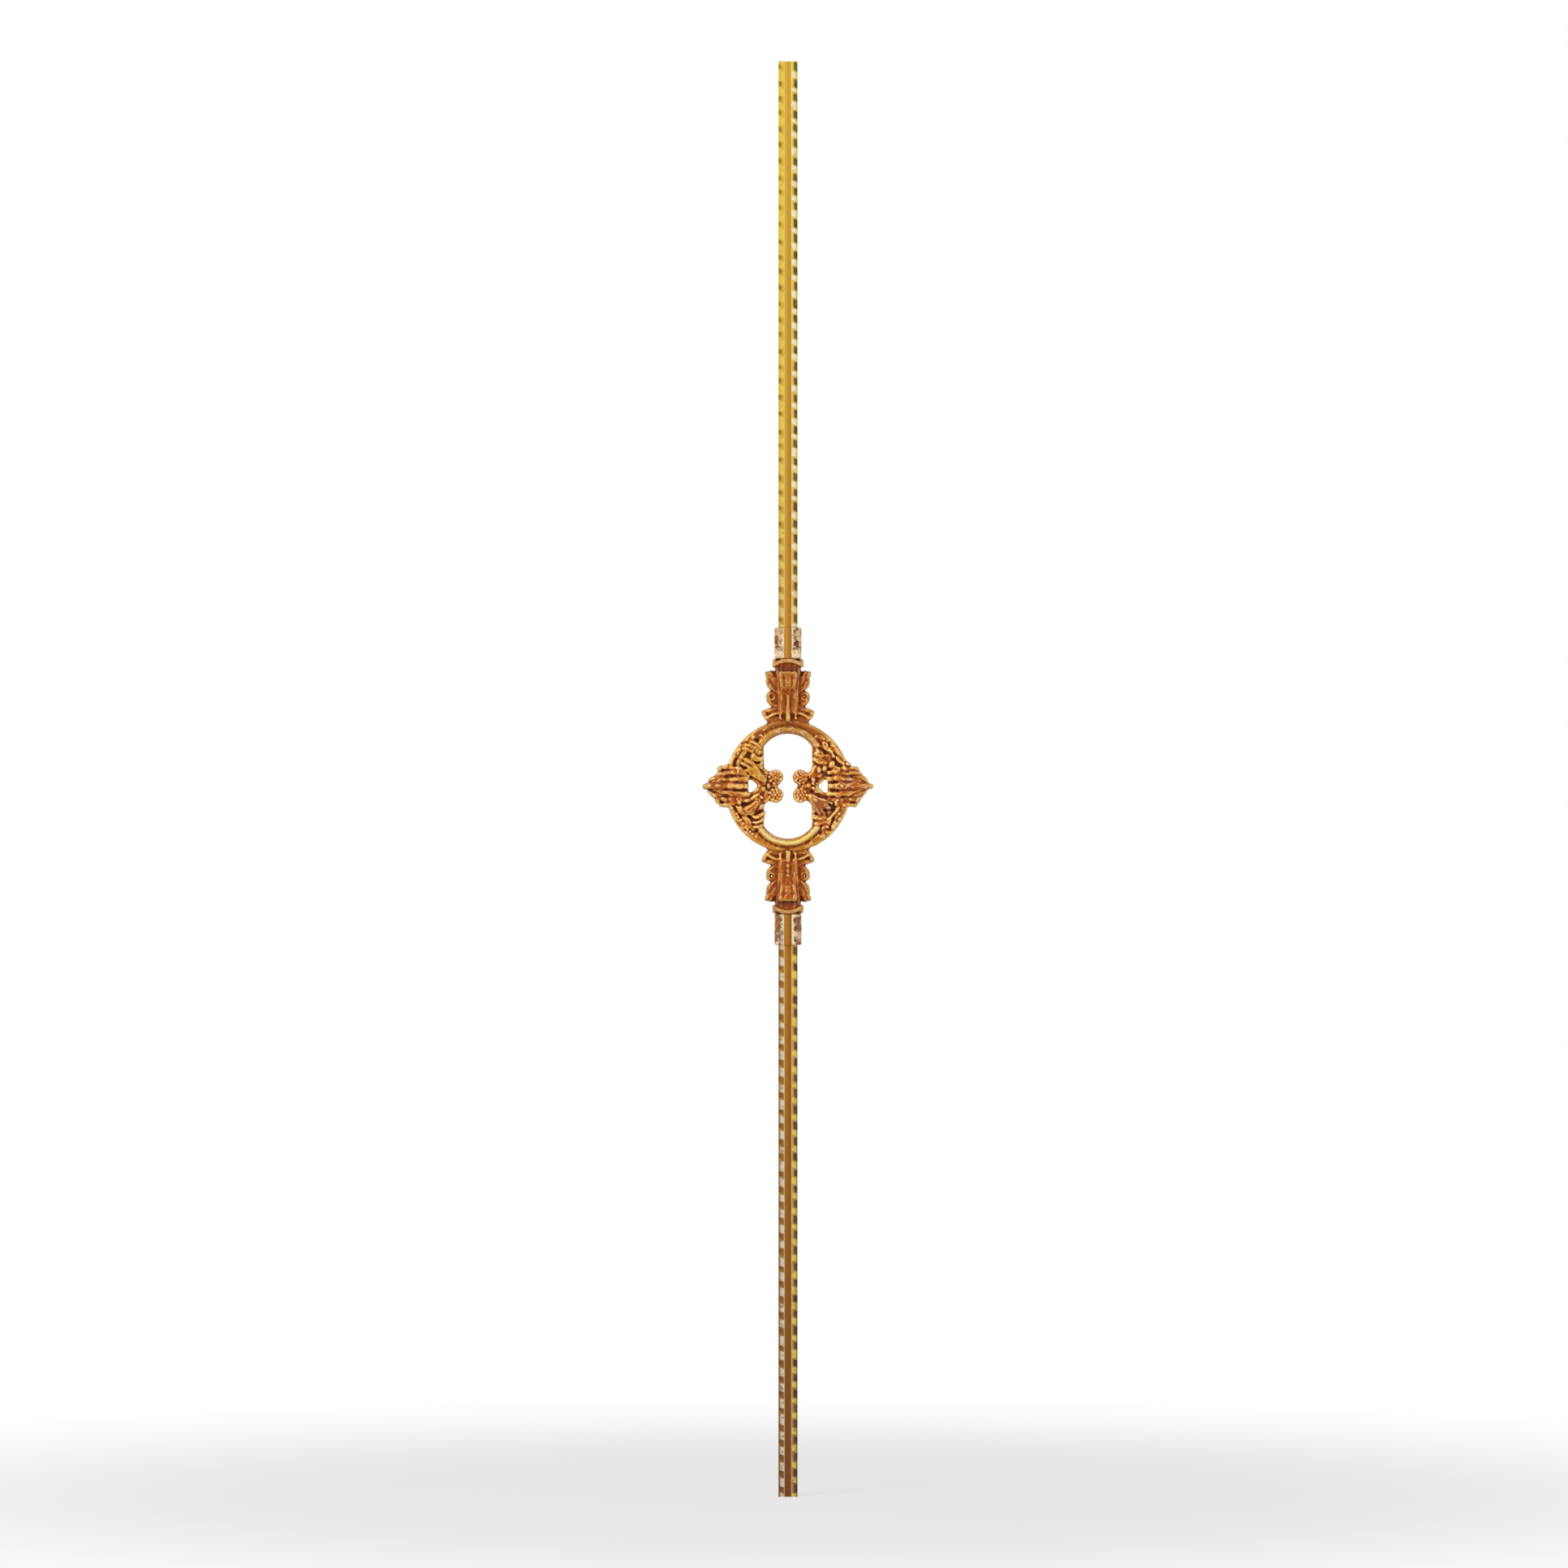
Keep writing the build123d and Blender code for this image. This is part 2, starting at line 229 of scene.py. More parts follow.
buds = (
    (((36.9, 14.2), 1.6, 5.5), ((30.9, 25.0), 1.4, 5.4), ((17.9, 21.2), 1.5, 6.2),
     ((15.4, 18.6), 1.1, 6.2), ((16.4, 14.6), 1.4, 6.0)),
    (((18.7, 11.2), 2.1, 6.2), ((22.0, 12.2), 2.1, 6.3), ((25.8, 14.2), 2.5, 6.6),
     ((34.8, 10.4), 2.0, 6.2), ((37.0, 14.0), 1.8, 5.6), ((27.6, 18.8), 1.7, 6.0),
     ((15.4, 4.6), 2.1, 6.2), ((23.5, 26.4), 2.2, 5.7)),
    (((30.7, 9.9), 2.2, 6.4), ((36.0, 13.6), 1.5, 5.5), ((16.2, 7.0), 1.6, 6.0)),
    (((29.2, 10.6), 2.0, 6.4), ((36.8, 12.4), 1.7, 5.6), ((16.4, 14.8), 1.4, 5.9),
     ((24.4, 25.2), 1.4, 5.8), ((32.4, 20.4), 1.4, 5.5)),
)
eyes = (
    ((20.3, 29.2), (24.8, 20.4), (26.4, 12.4)),
    ((23.5, 26.4), (22.4, 20.6), (27.6, 8.2)),
    ((26.6, 10.6), (24.8, 19.0), (19.6, 28.2)),
    ((16.4, 18.4), (28.2, 14.4), (20.6, 28.6)),
)
for side in (-1, 1):
    ring.lobe(((side * 19.6, 0), (side * 15, 0), (side * 10.4, 0)), (4.2, 4.8, 4.4), 4.6, moat=0)
    for centre, radius in (((12.4, 0), 1.9), ((15.6, 1.7), 1.6), ((15.8, -1.6), 1.6), ((18.4, 0), 1.1)):
        ring.bump((side * centre[0], centre[1]), radius, 5.6)
dressing = zip(quarters, (upper_left, upper_right, lower_left, lower_right), buds, eyes)
for turn, lobes, quarter_buds, quarter_eyes in dressing:
    ring.lobe(np.array(((8.4, 5.6), (14.0, 7.4), (21.5, 12.0))) * turn, (2.6, 3.2, 3.4), 4.8)
    for route, half, crest in lobes:
        ring.lobe(np.array(route) * turn, np.array((0.9, 1.1, 0.75)) * half, crest, vein=0.2, moat=0.35)
    for centre, radius, crest in quarter_buds:
        ring.bump(np.array(centre) * turn, radius, crest)
    for centre in quarter_eyes:
        ring.eye(np.array(centre) * turn, 0.9, 1.8)
pearls, pearl_reach, pearl_radius = 8, 36.2, 1.15
for share in np.linspace(0, 1, pearls):
    pearl = np.radians(-152 + 26 * share)
    ring.bump((pearl_reach * np.cos(pearl), pearl_reach * np.sin(pearl) - 1.0), pearl_radius, 5.6)
ring.outline = np.maximum(ring.outline, ring_edge - 0.3)

# Palmettes: a pointed plate with thick strands along it, and curled tips along both edges
ring.across, ring.up = x, z
shoulders = {
    1: (((37.4, 13.8), 1.9), ((43.0, 10.8), 1.7), ((43.4, -9.6), 1.5)),
    -1: (((-42.8, 10.8), 1.8), ((-44.0, -9.2), 1.8), ((-38.4, 12.6), 1.5)),
}
for side in (1, -1):
    slope = (np.abs(z) - (51.6 - side * x) * 0.9) * 0.74
    plate = np.maximum(np.maximum(24.9 - side * x, slope), np.abs(z) - 10.8)
    ring.outline = np.minimum(ring.outline, plate)
    ring.height = np.where((plate < 0) & (side * x > 36.5), 4.0, ring.height)
    for route, widths, crest in (
        (((31.5, 10.4), (36.6, 10.8), (41.8, 11.2)), (1.8, 1.9, 1.5), 5.3),
        (((36.4, 8.2), (41.6, 8.0), (46.4, 6.4)), (1.8, 1.9, 1.3), 5.4),
        (((41.6, 5.0), (45.8, 5.0), (48.9, 3.4)), (1.6, 1.8, 1.3), 5.3),
        (((26.2, 8.2), (31.6, 8.4), (37.0, 8.0)), (1.7, 1.9, 1.4), 5.6),
        (((25.6, 4.4), (35.0, 4.6), (46.4, 2.4)), (2.0, 2.3, 1.4), 6.0),
    ):
        for way in (1, -1):
            stray = hand.normal(0, 0.4, (3, 2))
            lobe = np.array(route) * np.array((side, way)) + stray
            ring.lobe(lobe, widths, crest, foot=4.4, moat=0.3)
    for centre, radius in shoulders[side]:
        ring.bump(centre, radius, 5.0)
    tip = np.array(((25.2, 0), (38, 0.2), (52.4, 0))) * np.array((side, 1))
    ring.lobe(np.array(((43, 0), (47, 0), (50.4, 0))) * side, (4.6, 3.6, 1.9), 5.0, moat=0)
    ring.lobe(tip, (2.0, 2.6, 2.6, 1.6), 6.4, foot=4.4, moat=0.3)

# Rosettes: two rows of petals round a button
for side, way in quarters:
    centre = np.array((side * 7.8, way * 5.6))
    ring.bump(centre, 4.7, 4.5, foot=3.2)
    for count, reach, radius, crest in ((9, 3.55, 1.5, 5.4), (6, 1.8, 1.05, 6.0)):
        for i in range(count):
            turn = 2 * np.pi * (i + 0.5 * (way > 0)) / count
            ring.bump(centre + reach * np.array((np.cos(turn), np.sin(turn))), radius, crest, moat=0.55)
    ring.bump(centre, 1.0, 6.3, moat=0.6)
# A small three-cornered opening between each palmette and the leaves
hole = np.maximum(np.abs(x) - 24.9, np.abs(z) * 0.8 + (22.4 - np.abs(x)) * 0.75 - 3.0)
hole = np.maximum(np.maximum(hole, np.abs(z) - 4.0), 19.3 - np.abs(x))
ring.pierce(hole)
ring.height += 0.12 * unevenness(x.shape, 2) * ~bead_here
ring_least = 2.2
ring.height = np.maximum(ring.height, ring_least)

# Stem above and below the ring: a fluted square core with a leaf on each face. Side leaves have a
# curled horn, a scrolled eyelet and a flare; front and back ones only the flare, over a rib that is
# beaded on the lower stem.
stem_start, stem_end, stem_foot, stem_round = 41.3, 36.5, -3.4, 1.1
stem_up = np.abs(zs) - stem_start
X, Y, H = xs[:, None, None], ys[None, :, None], stem_up[None, None, :]


def flare(leaf):
    for route, widths, crest in (
        (((6.4, 17.4), (9.6, 22.4), (13.3, 29.5)), (2.0, 2.4, 1.4), 4.6),
        (((6.4, 21.0), (9.0, 25.6), (10.8, 30.0)), (1.6, 2.1, 1.5), 4.9),
        (((8.4, 18.6), (11.4, 21.4), (12.9, 25.0)), (1.1, 1.5, 1.0), 4.2),
    ):
        leaf.lobe(route, widths, crest, foot=2.6, vein=0.6)


side_leaf = Carving(np.abs(xs), stem_up, 2.4)
reach, rise = side_leaf.across, side_leaf.up
side_leaf.outline = np.maximum(np.maximum(reach - 7.6 - 0.06 * rise, rise - 31), -3.6 - rise)
for route, widths, crest in (
    (((4.6, 8.0), (10.0, 6.2), (13.6, 5.9)), (2.4, 2.2, 1.4), 4.2),
    (((5.6, 0.8), (11.6, 1.2), (15.5, 5.2)), (2.8, 2.5, 1.2), 4.4),
    (((4.4, 4.8), (9.2, 3.8), (13.2, 1.2)), (1.1, 1.5, 0.9), 5.6),
    (((5.0, -1.6), (9.0, -1.6), (12.2, -1.9)), (1.4, 1.4, 1.1), 3.6),
    (((6.0, 8.6), (9.8, 10.2), (12.2, 13.0)), (1.6, 1.7, 1.5), 3.8),
):
    side_leaf.lobe(route, widths, crest, foot=2.8)
side_leaf.bump((14.8, 4.4), 1.5, 4.8, foot=2.8)
side_leaf.bump((8.2, 12.6), 2.2, 3.2, foot=2.4)
side_leaf.bump((10.4, 15.1), 3.4, 3.8, foot=2.4)
flare(side_leaf)
eyelet, eyelet_hole, leaf_least = (10.3, 15.1), 0.75, 1.5
side_leaf.eye(eyelet, 1.5, 1.4)
side_leaf.pierce(np.hypot((reach - eyelet[0]) * 1.3, rise - eyelet[1]) - eyelet_hole)
side_leaf.height = np.maximum(side_leaf.height, leaf_least)


def flutes(across, up):
    """How far the fluting on a stem's face stands out, by the distance from the middle of the face."""
    tongue = 0.9 * np.clip(2.1 - across, 0, 0.8) * np.clip(np.minimum(up - 20.5, 30 - up), 0, 1)
    border = -0.6 * np.exp(-(((across - 2.6) / 0.5) ** 2)) * np.clip(up - 18, 0, 1)
    slit = -0.8 * np.exp(-(((across - 1.5) / 0.5) ** 2)) * np.clip(np.minimum(up - 8, 16 - up), 0, 1)
    chevron = 0.6 * np.exp(-(((up - 17.4 - 1.1 * across) / 0.8) ** 2)) * (across < 4)
    side_rib = 0.35 * np.exp(-(((across - 4.2) / 0.8) ** 2))
    side_groove = -0.45 * np.exp(-(((across - 5.6) / 0.5) ** 2))
    notch = -2.4 * np.clip(1 - np.hypot((across - 3.2) / 2.0, (up - 2.4) / 2.4), 0, 1)
    return tongue + border + slit + chevron + (side_rib + side_groove) + notch


heights = (stem_foot, -0.6, 1.6, 14, 25, 35.4)
core_side = np.interp(stem_up, heights, (5.5, 5.6, 5.8, 6.5, 7.0, 8.3))[None, None, :]
core_front = np.interp(stem_up, heights, (3.0, 3.4, 5.8, 6.5, 7.0, 8.3))[None, None, :]
on_front = np.abs(Y) > np.abs(X)
across_face = np.where(on_front, np.abs(X), np.abs(Y))
out_face = np.where(on_front, np.abs(Y), np.abs(X))
uncovered = np.where(on_front, 1, np.clip((across_face - 3.4) / 0.8, 0, 1))
core_out = np.where(on_front, core_front, core_side) + flutes(across_face, H) * uncovered - stem_round
core_across = np.where(on_front, core_side, core_front) - stem_round
past_out, past_across = np.maximum(out_face - core_out, 0), np.maximum(across_face - core_across, 0)
stem = np.hypot(past_out, past_across) - stem_round
stem = np.maximum(stem, np.maximum(H - stem_end, stem_foot - H))
leaf_face = np.abs(Y) - side_leaf.height[:, None, :]
side_leaves = rounded(side_leaf.outline[:, None, :], leaf_face, stem_round)
stem = melded(stem, side_leaves, 1.2)

front_leaf = Carving(np.abs(ys) + 3.4, stem_up, 2.4)
flare(front_leaf)
leaf_half = np.interp(stem_up, (16, 19, 24, 28, 31.4), (2.4, 4.2, 5.4, 6.2, 5.6))[None, None, :]
ribbed = front_leaf.outline[None, :, :] - 0.8 * flutes(np.abs(X), H)
stem = melded(stem, rounded(ribbed, np.abs(X) - leaf_half, stem_round), 2.0)
rib_half = np.interp(stem_up, (0, 6, 10, 15.6), (1.6, 1.4, 1.1, 1.0))[None, None, :]
bead_breaks = sum(np.exp(-(((stem_up - at) / 0.5) ** 2)) for at in (7.0, 10.4, 13.4))
bead_breaks = (bead_breaks * (zs < 0))[None, None, :]
rib_out, rib_end = 7.6, 15.6
past_rib = np.maximum(np.abs(Y) - rib_out + rib_half + 0.8 * bead_breaks, 0)
rib = np.hypot(X, past_rib) - rib_half + 0.35 * bead_breaks
stem = melded(stem, np.maximum(rib, np.maximum(H - rib_end, -1.0 - H)), 0.8)

# End block under each collar: a square cushion whose rolled rim droops to its corners
seat, block_half, block_foot = 38.7, 8.4, 34.8
rim_out, rim_round, rim_droop = 8.3, 1.5, 0.036
spread = np.maximum(np.abs(X), np.abs(Y))
corner = np.minimum(np.abs(X), np.abs(Y))
rim = np.hypot(spread - rim_out, H - (seat - rim_round - rim_droop * corner**2)) - rim_round
block_top = H - seat + 0.55 * np.maximum(corner - 4, 0)
block = np.maximum(spread - block_half, np.maximum(block_top, block_foot - H))
casting = np.minimum(np.minimum(stem, rim), block)
ring_solid = rounded(np.abs(Y) - ring.height[:, None, :], ring.outline[:, None, :], 1.5)
casting = melded(casting, ring_solid, 1.2)

# The lacquered surface isn't dead smooth: a slight ripple, and sharp corners worn round
ripple = 0.08
casting = np.clip(casting, -2, 2) + ripple * unevenness(casting.shape, 1)
casting = 0.6 * casting + 0.4 * blurred(casting, 1)
for axis, half in zip((X, Y, zs[None, None, :]), half_box):
    casting = np.maximum(casting, np.abs(axis) - half)


def parted(field, fill=-0.02):
    """A field in which no two rounds touch along one edge of the grid, and no bubble is shut in: the
    gap there is filled."""
    field = field.copy()
    touching = True
    while touching:
        touching = False
        for axis in range(3):
            b, c = [a for a in range(3) if a != axis]
            corner = {}
            for i, j in ((0, 0), (0, 1), (1, 0), (1, 1)):
                part = [slice(None)] * 3
                part[b] = slice(i, field.shape[b] - 1 + i)
                part[c] = slice(j, field.shape[c] - 1 + j)
                corner[i, j] = field[tuple(part)]
            pairs = ((0, 0), (1, 1)), ((0, 1), (1, 0))
            for full, bare in (pairs, pairs[::-1]):
                saddle = (corner[full[0]] < 0) & (corner[full[1]] < 0)
                saddle &= (corner[bare[0]] >= 0) & (corner[bare[1]] >= 0)
                nearer = corner[bare[0]] < corner[bare[1]]
                corner[bare[0]][saddle & nearer] = fill
                corner[bare[1]][saddle & ~nearer] = fill
                touching = touching or saddle.any()
    inner = field[1:-1, 1:-1, 1:-1]
    bubble = inner >= 0
    for axis in range(3):
        for way in (1, -1):
            bubble &= np.roll(field, way, axis)[1:-1, 1:-1, 1:-1] < 0
    inner[bubble] = fill
    return field


def skin(name, field, low, step):
    """The closed mesh round the part of a field below zero, one corner in each cell that it crosses,
    with how far each point lies in a hollow kept on it, from -1 on an edge to 1 in a recess."""
    field = parted(field)
    cells = tuple(n - 1 for n in field.shape)
    total, hits = np.zeros(cells + (3,)), np.zeros(cells, np.int8)
    crossings = []
    for axis in range(3):
        first = field[tuple(slice(0, -1) if a == axis else slice(None) for a in range(3))]
        second = field[tuple(slice(1, None) if a == axis else slice(None) for a in range(3))]
        crossed = (first < 0) != (second < 0)
        share = np.where(crossed, first / np.where(crossed, first - second, 1), 0)
        crossings.append((crossed, first < 0))
        b, c = [a for a in range(3) if a != axis]
        for i in (0, 1):
            for j in (0, 1):
                part = [slice(None)] * 3
                part[b], part[c] = slice(i, i + cells[b]), slice(j, j + cells[c])
                here = crossed[tuple(part)]
                total[..., axis] += share[tuple(part)]
                total[..., b] += i * here
                total[..., c] += j * here
                hits += here
    used = hits > 0
    number = np.full(cells, -1)
    number[used] = np.arange(used.sum())
    at = np.argwhere(used)
    points = (at + total[used] / hits[used][:, None]) * step + low
    faces = []
    for axis, (crossed, filled) in enumerate(crossings):
        b, c = (axis + 1) % 3, (axis + 2) % 3
        edge = np.argwhere(crossed)
        within = (edge[:, b] > 0) & (edge[:, c] > 0) & (edge[:, b] < cells[b]) & (edge[:, c] < cells[c])
        edge = edge[within]
        ring_of = []
        for i, j in ((-1, -1), (0, -1), (0, 0), (-1, 0)):
            cell = edge.copy()
            cell[:, b] += i
            cell[:, c] += j
            ring_of.append(number[tuple(cell.T)])
        quad = np.stack(ring_of, 1)
        turned = ~filled[tuple(edge.T)]
        quad[turned] = quad[turned][:, ::-1]
        faces.append(quad)
    faces = np.concatenate(faces)
    mesh = bpy.data.meshes.new(name)
    mesh.from_pydata((points / 1000).tolist(), [], faces.tolist())
    mesh.validate()
    mesh.polygons.foreach_set("use_smooth", [True] * len(mesh.polygons))
    filled = np.clip(0.5 - field / step, 0, 1)
    for label, reach, scale in (("hollow", 3, 3.2), ("edge", 1, 4.0)):
        deep = blurred(filled, reach)
        value = (deep[tuple(at.T)] + deep[tuple((at + 1).T)]) / 2 - 0.5
        kept = mesh.attributes.new(label, "FLOAT", "POINT")
        kept.data.foreach_set("value", np.clip(value * scale, -1, 1))
    piece = bpy.data.objects.new(name, mesh)
    bpy.context.scene.collection.objects.link(piece)
    return piece


medallion = skin("casting", casting, np.array((xs[0], ys[0], zs[0])) + casting_middle, grid_step)


class Socket:
    """A shader value; sums on it add the nodes that do them."""

    tree = None

    def __init__(self, socket):
        self.socket = socket

    @classmethod
    def node(cls, kind, settings=None, out=0, **values):
        made = cls.tree.nodes.new(kind)
        for key, value in (settings or {}).items():
            if key == "stops":
                while len(made.color_ramp.elements) < len(value):
                    made.color_ramp.elements.new(1)
                for element, (position, shade) in zip(made.color_ramp.elements, value):
                    element.position = position
                    element.color = shade
            else:
                setattr(made, key, value)
        for key, value in values.items():
            numbered = key[0] == "_" and key[1:].isdigit()
            target = made.inputs[int(key[1:]) if numbered else key.replace("_", " ")]
            if isinstance(value, Socket):
                cls.tree.links.new(value.socket, target)
            else:
                target.default_value = value
        return cls(made.outputs[out])

    def math(self, operation, other=None, swap=False, clamp=False):
        first, second = (other, self) if swap else (self, other)
        values = {"_0": first} if other is None else {"_0": first, "_1": second}
        return Socket.node("ShaderNodeMath", {"operation": operation, "use_clamp": clamp}, **values)

    def __add__(self, other):
        return self.math("ADD", other)

    def __sub__(self, other):
        return self.math("SUBTRACT", other)

    def __rsub__(self, other):
        return self.math("SUBTRACT", other, swap=True)

    def __mul__(self, other):
        return self.math("MULTIPLY", other)

    __radd__, __rmul__ = __add__, __mul__

    def held(self):
        return self.math("ADD", 0.0, clamp=True)

    def spread(self, low, high):
        """0 below low, 1 above high, and smooth between."""
        return Socket.node("ShaderNodeMapRange", {"interpolation_type": "SMOOTHSTEP"},
                           Value=self, From_Min=low, From_Max=high)

    def tint(self, other, share):
        """This colour turned to another one by a share."""
        return Socket.node("ShaderNodeMix", {"data_type": "RGBA"}, out=2, _0=share, _6=self, _7=other)


def colour(red, green, blue):
    """A display colour of 0 to 255 as the shader wants it, with its alpha."""
    shares = []
    for part in (red, green, blue):
        shares.append(((part / 255 + 0.055) / 1.055) ** 2.4 if part > 10 else part / 255 / 12.92)
    return (*shares, 1)


def finish(piece, name):
    material = bpy.data.materials.new(name)
    material.use_nodes = True
    Socket.tree = material.node_tree
    piece.data.materials.append(material)
    shader = material.node_tree.nodes["Principled BSDF"]
    place = Socket.node("ShaderNodeTexCoord", out=3)
    return shader, place


def link(value, shader, socket):
    Socket.tree.links.new(value.socket, shader.inputs[socket])


def noise(place, scale, detail=3.0, roughness=0.55):
    return Socket.node("ShaderNodeTexNoise", Vector=place, Scale=scale, Detail=detail,
                       Roughness=roughness)


def height_of(place):
    return Socket.node("ShaderNodeSeparateXYZ", out=2, Vector=place)


def near(place, centre, reach):
    """1 at a point of the casting, in millimetres from its centre, and 0 from that reach on."""
    at = tuple((casting_middle + centre) / 1000)
    gap = Socket.node("ShaderNodeVectorMath", {"operation": "DISTANCE"}, out=1, _0=place, _1=at)
    return 1 - gap.spread(0.4 * reach / 1000, reach / 1000)


# Copper-gold lacquer: red brown in the hollows, partly lacquer left there and partly painted shade, gold
# on the rounds, and pale on the edges, partly rubbed wear and partly painted highlight
shader, place = finish(medallion, "copper_gold_lacquer")
hollow = Socket.node("ShaderNodeAttribute", {"attribute_name": "hollow"}, out=2)
edge = Socket.node("ShaderNodeAttribute", {"attribute_name": "edge"}, out=2)
cloud = noise(place, 60.0)
mottle = noise(place, 210.0, 2.0)
grain = noise(place, 420.0, 4.0, 0.65)
# Tone: red brown deep in the hollows, partly lacquer left there and partly painted shade
tone = (hollow * 1.05 + (cloud - 0.5) * 0.5 + (mottle - 0.5) * 0.5 + 0.47).held()
gold = Socket.node("ShaderNodeValToRGB", {"stops": (
    (0.0, colour(255, 214, 118)),
    (0.14, colour(244, 168, 68)),
    (0.34, colour(208, 116, 36)),
    (0.54, colour(170, 82, 22)),
    (0.75, colour(132, 58, 16)),
    (1.0, colour(100, 42, 12)),
)}, Fac=tone)
height = height_of(place)
middle = casting_middle[2] / 1000
raised = 1 - hollow.spread(-0.15, 0.3)
from_middle = (height - middle).math("ABSOLUTE")
gold = gold.tint(colour(176, 86, 26), from_middle.spread(0.040, 0.050) * 0.55)
# A dark band on the stem where the end block's rim overhangs it: painted shade
neck = from_middle.spread(0.070, 0.073) * (1 - from_middle.spread(0.0745, 0.076))
gold = gold.tint(colour(104, 50, 32), neck * 0.6)
for shade, centre, reach, share in (
    ((230, 172, 56), (-20, -6, 15), 17, 0.6),
    ((224, 120, 34), (8, -6, 4), 11, 0.5),
    ((214, 140, 40), (-8, -6, 0), 11, 0.45),
    ((160, 90, 50), (22, -6, -13), 10, 0.6),
):
    gold = gold.tint(colour(*shade), near(place, centre, reach) * raised * share)
sideways = Socket.node("ShaderNodeSeparateXYZ", Vector=place)
# Painted highlight along the crest of the ring's bead, dull gold above and full pale yellow below; the
# band beside it is browner above and brighter gold below
lower = (middle - height).spread(-0.005, 0.005)
ring_brown = from_middle.spread(0.026, 0.034) * (1 - from_middle.spread(0.0415, 0.0425))
gold = gold.tint(colour(172, 96, 28), ring_brown * (1 - lower * 0.7) * 0.6)
rise = from_middle - opening_lift / 1000
bead_crown = (bead_radius - 0.2) / 1000
bead_line = ((sideways * sideways + rise * rise).math("SQRT") - bead_crown).math("ABSOLUTE")
on_bead = (1 - bead_line.spread(0.0002, 0.0013)) * from_middle.spread(0.022, 0.030)
gold = gold.tint(colour(206, 150, 44), on_bead * (1 - lower) * 0.6)
gold = gold.tint(colour(226, 160, 44), ring_brown * lower * raised * 0.5)
gold = gold.tint(colour(255, 236, 120), on_bead * lower)
palm = sideways.math("ABSOLUTE").spread(0.034, 0.044)
gold = gold.tint(colour(164, 88, 26), palm * 0.3)
rim_glow = from_middle.spread(0.0770, 0.0785) * raised
gold = gold.tint(colour(250, 226, 186), rim_glow * mottle.spread(0.45, 0.6) * 0.45)
off_stem = 1 - 0.7 * from_middle.spread(0.040, 0.044)
# Pale on the sharp edges: partly rubbed wear, partly painted highlight
edge_wear_and_highlight = (0.0 - edge).spread(0.3, 0.75) * mottle.spread(0.42, 0.6) * off_stem
gold = gold.tint(colour(255, 236, 190), edge_wear_and_highlight * 0.85)
# Outer tips: darker, olive and grey at the left tip and below, bright yellow at the right tip and the
# upper left flare, and a painted highlight on each upper horn
patchy = 0.35 + 0.65 * mottle.spread(0.4, 0.58)
for shade, centre, reach, share in (
    ((84, 58, 34), (-53, 0, 0), 8, 0.75),
    ((74, 84, 40), (-43, 0, 12), 4, 0.6),
    ((250, 220, 100), (53, 0, 0), 7, 0.8),
    ((96, 84, 60), (46, 0, -9), 5, 0.5),
    ((216, 190, 70), (-14, 0, 70), 6, 0.5),
    ((112, 104, 74), (-16.5, 0, -46), 5, 0.6),
    ((112, 104, 74), (16.5, 0, -46), 5, 0.6),
    ((250, 226, 190), (11, 0, 45), 4, 0.5),
    ((250, 226, 190), (-11, 0, 45), 4, 0.5),
):
    gold = gold.tint(colour(*shade), near(place, centre, reach) * patchy * share)
link(gold, shader, "Base Color")
link((0.34 + 0.3 * hollow.held() + (grain - 0.5) * 0.3).held(), shader, "Roughness")
link((0.45 - 0.5 * hollow.held()).held(), shader, "Metallic")
link(Socket.node("ShaderNodeBump", Height=grain, Strength=0.35, Distance=0.0004), shader, "Normal")
shader.inputs["Specular IOR Level"].default_value = 0.25
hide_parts("medallion")
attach(medallion, "root")

# Bars: rolled square steel with a channel down each face and hammered corners, lacquered gold.
# The upper bar and the lower one butt against the casting inside the collars.
bar_half, channel_half, channel_depth = 6.0, 2.25, 0.8
mark_pitch, level_step, blunt_corner = 9.9, 0.6, 5.9
mark_slant = np.tan(np.radians(24))


